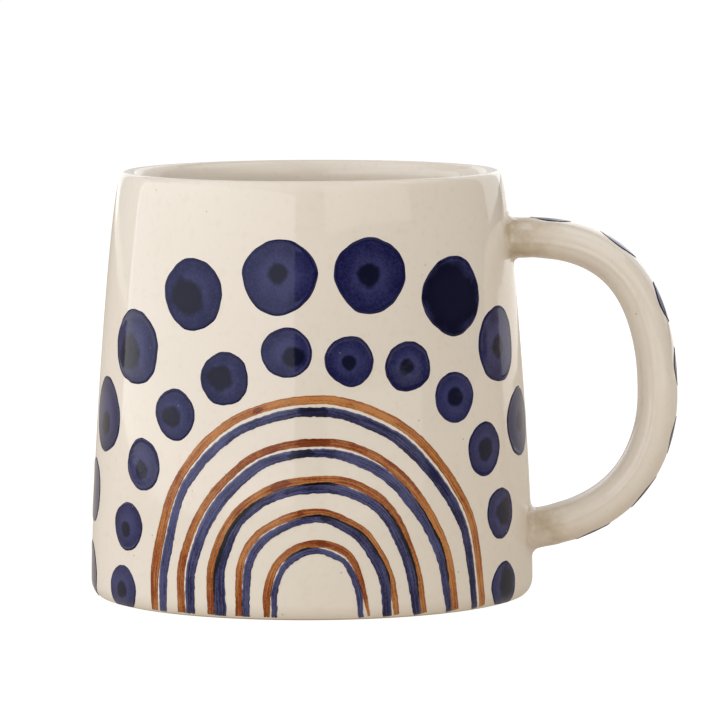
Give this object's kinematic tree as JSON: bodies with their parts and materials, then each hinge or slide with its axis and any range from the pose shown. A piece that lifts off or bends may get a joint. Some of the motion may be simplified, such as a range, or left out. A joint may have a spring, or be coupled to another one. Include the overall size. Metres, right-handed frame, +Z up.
{
  "type": "stoneware mug",
  "caption": "Tapered stoneware mug with a strap handle, cream glazed, painted with cobalt dots and brown and blue rainbow arches.",
  "frame": {"origin": "centre of the flat base, on the cup's axis, at the surface that the mug stands on", "axes": "+Z up the cup's axis, +X from the axis out through the handle, -Y towards the painted front"},
  "size_m": [0.1325, 0.1, 0.095],
  "materials": {
    "bare_stoneware": "matte, fine sandy fired clay",
    "cream_glaze": "glossy cream glaze with fine specks",
    "cobalt_blue": "glossy cobalt underglaze paint, pooled darker in the middle",
    "iron_brown": "glossy iron brown brush strokes, streaky"
  },
  "bodies": {
    "root": {"stoneware_body": "bare_stoneware", "outer_glaze_coat": "cream_glaze", "liner_glaze_coat": "cream_glaze", "upper_handle_joint": "bare_stoneware", "lower_handle_joint": "bare_stoneware", "handle": "bare_stoneware", "handle_glaze_sleeve": "cream_glaze", "front_brown_arch_1": "iron_brown", "front_blue_arch_1": "cobalt_blue", "front_brown_arch_2": "iron_brown", "front_blue_arch_2": "cobalt_blue", "front_brown_arch_3": "iron_brown", "front_blue_arch_3": "cobalt_blue", "front_brown_arch_4": "iron_brown", "front_blue_arch_4": "cobalt_blue", "front_brown_arch_5": "iron_brown", "front_blue_arch_5": "cobalt_blue", "front_large_dot_1": "cobalt_blue", "front_large_dot_2": "cobalt_blue", "front_large_dot_3": "cobalt_blue", "front_large_dot_4": "cobalt_blue", "front_large_dot_5": "cobalt_blue", "front_large_dot_6": "cobalt_blue", "front_large_dot_7": "cobalt_blue", "front_large_dot_8": "cobalt_blue", "front_large_dot_9": "cobalt_blue", "front_large_dot_10": "cobalt_blue", "back_brown_arch_1": "iron_brown", "back_blue_arch_1": "cobalt_blue", "back_brown_arch_2": "iron_brown", "back_blue_arch_2": "cobalt_blue", "back_brown_arch_3": "iron_brown", "back_blue_arch_3": "cobalt_blue", "back_brown_arch_4": "iron_brown", "back_blue_arch_4": "cobalt_blue", "back_brown_arch_5": "iron_brown", "back_blue_arch_5": "cobalt_blue", "back_large_dot_1": "cobalt_blue", "back_large_dot_2": "cobalt_blue", "back_large_dot_3": "cobalt_blue", "back_large_dot_4": "cobalt_blue", "back_large_dot_5": "cobalt_blue", "back_large_dot_6": "cobalt_blue", "back_large_dot_7": "cobalt_blue", "back_large_dot_8": "cobalt_blue", "back_large_dot_9": "cobalt_blue", "handle_dot_1": "cobalt_blue", "handle_dot_2": "cobalt_blue", "handle_dot_3": "cobalt_blue", "handle_dot_4": "cobalt_blue", "handle_dot_5": "cobalt_blue", "handle_dot_6": "cobalt_blue", "handle_dot_7": "cobalt_blue"}
  },
  "joints": []
}
